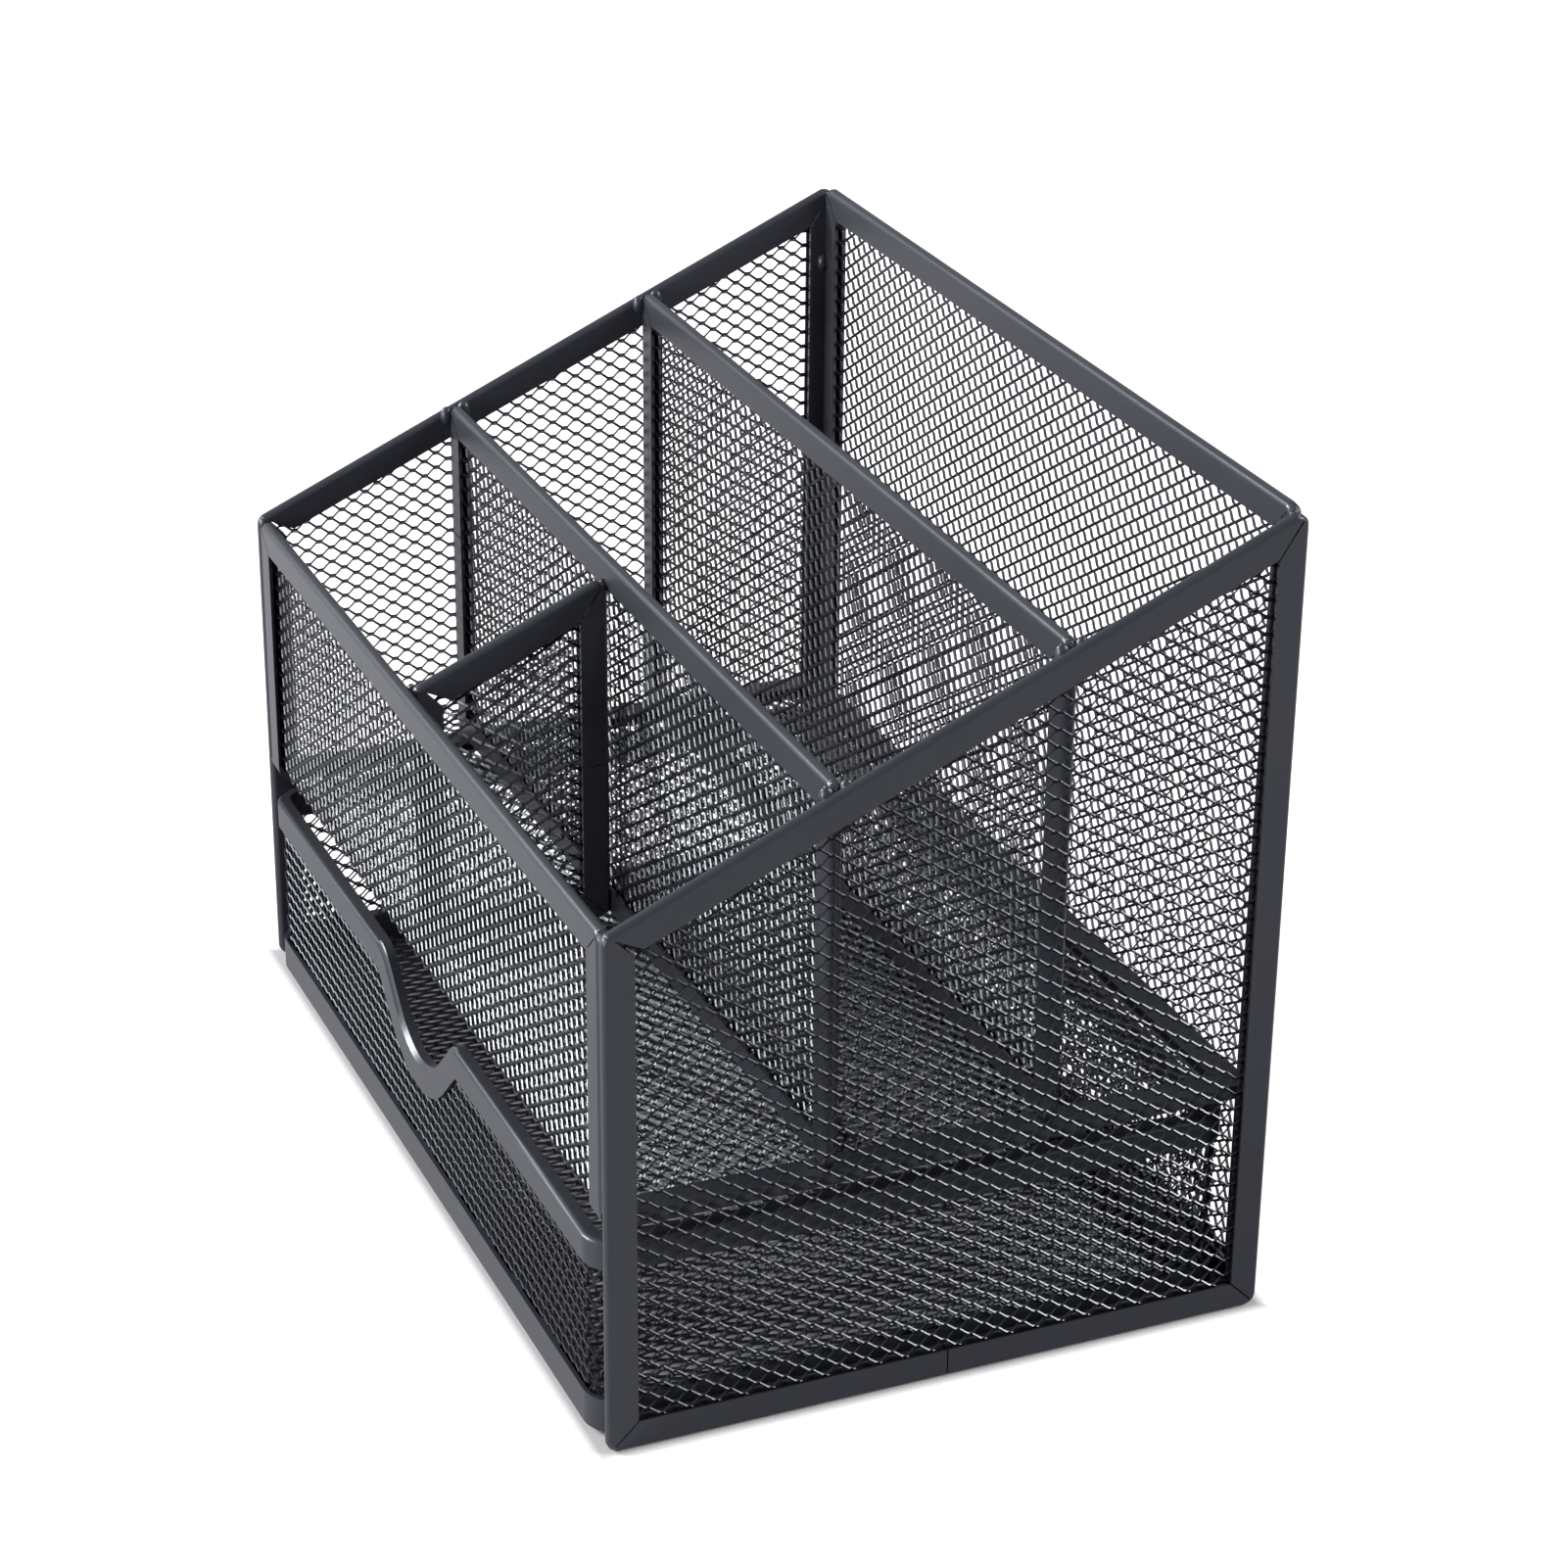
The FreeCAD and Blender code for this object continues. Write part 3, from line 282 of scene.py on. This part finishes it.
def stretch_diamonds(name, wide, high):
    """A sheet of expanded metal round the origin, with the long way of its diamonds along X and
    the short way along Z. One leaning ribbon with flat cut edges is drawn through a wave, and
    its copies touch at the bonds."""
    columns = math.ceil(wide / DIAMOND_LONG) + 2
    rows = math.ceil(high / DIAMOND_SHORT) + 2
    bpy.ops.object.select_all(action="DESELECT")
    bpy.ops.mesh.primitive_plane_add(size=1)
    sheet = bpy.context.object
    sheet.name = name
    sheet.scale = (STRAND_THICK, STRAND_WIDE, 1)
    sheet.rotation_euler = (0, math.radians(90), 0)
    bpy.ops.object.transform_apply(rotation=True, scale=True)
    sheet.rotation_euler = (math.radians(90) + STRAND_LEAN, 0, 0)
    bpy.ops.object.transform_apply(rotation=True)
    climb = DIAMOND_SHORT / 2 - STRAND_WIDE * math.cos(STRAND_LEAN)
    shift = STRAND_WIDE * math.sin(STRAND_LEAN)
    sheet.location = (
        -columns * DIAMOND_LONG / 2, -shift / 2, -rows * DIAMOND_SHORT / 2 - climb / 2
    )
    bpy.ops.object.transform_apply(location=True)
    bpy.ops.object.mode_set(mode="EDIT")
    run = DIAMOND_LONG / 2 - BOND_LONG
    for step in (
        (BOND_LONG, 0, 0), (run, shift, climb), (BOND_LONG, 0, 0), (run, -shift, -climb)
    ):
        bpy.ops.mesh.extrude_region_move(TRANSFORM_OT_translate={"value": step})
    bpy.ops.mesh.select_all(action="SELECT")
    bpy.ops.mesh.normals_make_consistent(inside=False)
    bpy.ops.mesh.select_all(action="DESELECT")
    bpy.ops.object.mode_set(mode="OBJECT")
    for face in sheet.data.polygons:
        face.select = abs(face.normal.x) > END_FACE
    bpy.ops.object.mode_set(mode="EDIT")
    bpy.ops.mesh.select_mode(type="FACE")
    bpy.ops.mesh.delete(type="ONLY_FACE")
    bpy.ops.object.mode_set(mode="OBJECT")
    for label, count, offset, joined in (
        ("along the ribbon", columns, (DIAMOND_LONG, 0, 0), True),
        ("the ribbon above", 2, (DIAMOND_LONG / 2, 0, DIAMOND_SHORT / 2), False),
        ("up the sheet", rows, (0, 0, DIAMOND_SHORT), False),
    ):
        copies = sheet.modifiers.new(label, "ARRAY")
        copies.count = count
        copies.use_relative_offset = False
        copies.use_constant_offset = True
        copies.constant_offset_displace = offset
        copies.use_merge_vertices = joined
        copies.merge_threshold = RIBBON_JOINT
        bpy.ops.object.modifier_apply(modifier=label)
    bpy.ops.object.shade_smooth_by_angle(angle=math.radians(60))
    return sheet


def lay(sheet, centre, turns):
    """Turns a sheet about the origin, one turn after another, and moves it to its centre."""
    for turn in turns:
        sheet.rotation_euler = [math.radians(angle) for angle in turn]
        bpy.ops.object.transform_apply(rotation=True)
    sheet.location = centre
    bpy.ops.object.transform_apply(location=True)


def shear_off(sheet, cuts):
    """Cuts the sheet, the active piece, along planes and closes the cut strands. Each cut is a
    point and the way that falls away."""
    bpy.ops.object.mode_set(mode="EDIT")
    for point, away in cuts:
        bpy.ops.mesh.select_all(action="SELECT")
        bpy.ops.mesh.bisect(plane_co=point, plane_no=away, clear_outer=True)
    bpy.ops.mesh.select_all(action="SELECT")
    bpy.ops.mesh.fill_holes(sides=0)
    bpy.ops.object.mode_set(mode="OBJECT")


def box_cuts(low, high, axes):
    """The cuts along the sides of a box, for the axes named."""
    cuts = []
    for axis in axes:
        away = Vector([axis == letter for letter in "XYZ"])
        cuts += [(low, -away), (high, away)]
    return cuts


def panel_sheet(node, body, long_way, short_way, turns, extra=()):
    """The expanded sheet of one flat panel, cut to the edges that its channel hides."""
    low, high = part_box(node)
    size = high - low
    name = node.replace("_mesh", "_sheet")
    sheet = stretch_diamonds(name, size["XYZ".index(long_way)], size["XYZ".index(short_way)])
    lay(sheet, (low + high) / 2, turns)
    shear_off(sheet, box_cuts(low, high, long_way + short_way) + list(extra))
    finish(sheet, body, mesh_coat_with_painted_shade, [node])
    return sheet


for side in ("left", "right"):
    folded_strip(f"{side}_frame", "stand")
    low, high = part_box(f"{side}_mesh")
    falling = (Vector((low.x, high.y, high.z)), Vector((0, -SLOPE, 1)))
    panel_sheet(f"{side}_mesh", "stand", "Y", "Z", [(0, 0, 90)], [falling])

# ---------------------------------------------------------------- back panel
# The tallest panel closes the back, down to the table.
folded_strip("back_frame", "stand")
panel_sheet("back_mesh", "stand", "X", "Z", [])

# ---------------------------------------------------------------- front panel and shelf
# One sheet of expanded steel stands as the front panel, turns back over a small fold and lies
# as the shelf under the pens. Its channel is in two strips, one for each part.
FOLD_RADIUS = 0.0018

folded_strip("front_frame", "stand")
folded_strip("shelf_frame", "stand")

front_low, front_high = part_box("front_mesh")
shelf_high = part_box("shelf_mesh")[1]
fold_y = (front_low.y + front_high.y) / 2
fold_run = FOLD_RADIUS * math.radians(90)
standing = front_high.z - front_low.z
lying = fold_run + shelf_high.y - fold_y - FOLD_RADIUS
wide = front_high.x - front_low.x

sheet = stretch_diamonds("front_and_shelf_sheet", wide, standing + lying)
lay(sheet, (0, 0, (lying - standing) / 2), [(0, 180, 0)])
flat_low = Vector((front_low.x, 0, -standing))
flat_high = Vector((front_high.x, 0, lying))
shear_off(sheet, box_cuts(flat_low, flat_high, "XZ"))
fold = sheet.modifiers.new("fold", "SIMPLE_DEFORM")
fold.deform_method = "BEND"
fold.deform_axis = "X"
fold.angle = math.radians(90)
fold.limits = (standing / (standing + lying), (standing + fold_run) / (standing + lying))
bpy.ops.object.modifier_apply(modifier="fold")
lay(sheet, (0, fold_y, front_low.z), [(0, 180, 0)])
finish(sheet, "stand", mesh_coat_with_painted_shade, ["front_mesh", "shelf_mesh"])

# ---------------------------------------------------------------- dividers
# Two long dividers cross from side to side, and a short one splits the front row.
for place in ("middle", "rear"):
    folded_strip(f"{place}_divider_frame", "stand")
    panel_sheet(f"{place}_divider_mesh", "stand", "X", "Z", [])
folded_strip("short_divider_frame", "stand")
low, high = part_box("short_divider_mesh")
falling = (Vector((low.x, high.y, high.z)), Vector((0, -SLOPE, 1)))
panel_sheet("short_divider_mesh", "stand", "Y", "Z", [(0, 0, -90)], [falling])

# ---------------------------------------------------------------- drawer
# The drawer is a tray of expanded steel between two folded rims. Its walls turn round upright
# corners, and the upper rim dips in front to leave a notch for a finger.
CORNER_RADIUS = 0.004
WALL_OUTSIDE = 0.0044
# Half of the notch's line: how far aside of the middle, and how far above the wall's top edge.
NOTCH = ((0.0185, -0.0012), (0.0159, -0.0023), (0.01034, -0.0077), (0, -0.0119))

folded_strip("drawer_top_rim", "drawer")
folded_strip("drawer_bottom_rim", "drawer")
panel_sheet("drawer_floor_mesh", "drawer", "Y", "X", [(0, 90, 0), (90, 0, 0)])
panel_sheet("drawer_back_mesh", "drawer", "Z", "X", [(0, 90, 0)])
panel_sheet("drawer_left_mesh", "drawer", "Y", "Z", [(0, 0, 90)])
panel_sheet("drawer_right_mesh", "drawer", "Y", "Z", [(0, 0, 90)])


def copy_of(piece, name):
    """A copy with its own mesh."""
    pick(piece)
    bpy.ops.object.duplicate()
    copy = bpy.context.object
    copy.name = name
    return copy


def joined(pieces):
    """The pieces as one, under the first one's name."""
    pick(*pieces)
    bpy.ops.object.join()
    return bpy.context.object


# The front wall's sheet is trimmed along the notch, and the rim hides its cut ends.
low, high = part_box("drawer_front_mesh")
front_wall = stretch_diamonds("drawer_front_sheet", high.z - low.z, high.x - low.x)
lay(front_wall, (low + high) / 2, [(0, 90, 0)])
shear_off(front_wall, box_cuts(low, high, "XZ"))
bpy.ops.object.mode_set(mode="EDIT")
bpy.ops.mesh.select_mode(type="VERT")
bpy.ops.mesh.select_all(action="DESELECT")
bpy.ops.object.mode_set(mode="OBJECT")
for point in front_wall.data.vertices:
    aside = abs(point.co.x)
    for (far, upper), (near, lower) in zip(NOTCH, NOTCH[1:]):
        if near <= aside <= far:
            edge = lower + (upper - lower) * (aside - near) / (far - near)
            point.select = point.co.z > high.z + edge
bpy.ops.object.mode_set(mode="EDIT")
bpy.ops.mesh.delete(type="VERT")
bpy.ops.mesh.select_all(action="SELECT")
bpy.ops.mesh.fill_holes(sides=0)
bpy.ops.mesh.normals_make_consistent(inside=False)
bpy.ops.object.mode_set(mode="OBJECT")
bpy.ops.object.shade_flat()
finish(front_wall, "drawer", mesh_coat_with_painted_shade, ["drawer_front_mesh"])

# One corner is bent to a quarter turn and copied to the other three.
low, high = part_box("drawer_corner_mesh")
round_wide = CORNER_RADIUS * math.radians(90)
corner = stretch_diamonds("drawer_corner_sheet", high.z - low.z, round_wide)
lay(corner, (0, 0, (low.z + high.z) / 2), [(0, 90, 0)])
flat_low = Vector((-round_wide / 2, 0, low.z))
flat_high = Vector((round_wide / 2, 0, high.z))
shear_off(corner, box_cuts(flat_low, flat_high, "XZ"))
turn = corner.modifiers.new("quarter turn", "SIMPLE_DEFORM")
turn.deform_method = "BEND"
turn.deform_axis = "Z"
turn.angle = math.radians(90)
bpy.ops.object.modifier_apply(modifier="quarter turn")
lay(corner, (0, -CORNER_RADIUS, 0), [])
corners = [corner] + [copy_of(corner, "drawer_corner_copy") for _ in range(3)]
for piece, across, along, turned in (
    (corners[0], high.x - WALL_OUTSIDE, low.y + WALL_OUTSIDE, 45),
    (corners[1], high.x - WALL_OUTSIDE, high.y - WALL_OUTSIDE, 135),
    (corners[2], low.x + WALL_OUTSIDE, high.y - WALL_OUTSIDE, 225),
    (corners[3], low.x + WALL_OUTSIDE, low.y + WALL_OUTSIDE, -45),
):
    pick(piece)
    lay(piece, (across, along, 0), [(0, 0, turned)])
finish(joined(corners), "drawer", mesh_coat_with_painted_shade, ["drawer_corner_mesh"])

# ---------------------------------------------------------------- weld beads
# Small gas welds hold the dividers and the back panel to the side panels. Each is a drop of
# melted steel with a sunken end, coated over with the rest.
BEAD_SIZE = 0.0023
BEAD_FORM = (0.8, 0.95, 1.4)
CRATER_FACES = Vector((0, -0.5, 0.86))
CRATER_REACH = 0.86
# Where each bead sits, across, along and up, and how far it turns in degrees.
BEADS = (
    (-0.0752, -0.0174, 0.0903, 10), (-0.0752, -0.0146, 0.0909, 170),
    (0.0752, -0.0174, 0.0903, -10), (0.0752, -0.0146, 0.0909, 190),
    (-0.0752, 0.0152, 0.1047, 12), (-0.0752, 0.0180, 0.1053, 168),
    (0.0752, 0.0152, 0.1047, -12), (0.0752, 0.0180, 0.1053, 192),
    (-0.0063, -0.0462, 0.0756, 80), (-0.0061, -0.0172, 0.0874, 100),
    (-0.0752, 0.0469, 0.1080, 60), (0.0752, 0.0469, 0.1080, 120),
)

bpy.ops.object.select_all(action="DESELECT")
bpy.ops.mesh.primitive_ico_sphere_add(subdivisions=3, radius=BEAD_SIZE / 2)
drop = bpy.context.object
drop.name = "weld_drops"
drop.scale = BEAD_FORM
bpy.ops.object.transform_apply(scale=True)
bpy.ops.object.mode_set(mode="EDIT")
bpy.ops.mesh.select_all(action="DESELECT")
bpy.ops.object.mode_set(mode="OBJECT")
for face in drop.data.polygons:
    face.select = face.normal.dot(CRATER_FACES) > CRATER_REACH
bpy.ops.object.mode_set(mode="EDIT")
bpy.ops.mesh.inset(thickness=BEAD_SIZE * 0.07, depth=BEAD_SIZE * 0.04)
bpy.ops.mesh.inset(thickness=BEAD_SIZE * 0.05, depth=-BEAD_SIZE * 0.1)
bpy.ops.mesh.select_all(action="SELECT")
bpy.ops.mesh.vertices_smooth(factor=0.5, repeat=2)
bpy.ops.object.mode_set(mode="OBJECT")
bpy.ops.object.shade_smooth()
drops = [drop] + [copy_of(drop, "weld_drop_copy") for _ in BEADS[1:]]
for piece, (across, along, height, turned) in zip(drops, BEADS):
    pick(piece)
    lay(piece, (across, along, height), [(0, 0, turned)])
finish(joined(drops), "stand", strip_coat_with_painted_sheen, ["weld_beads"])
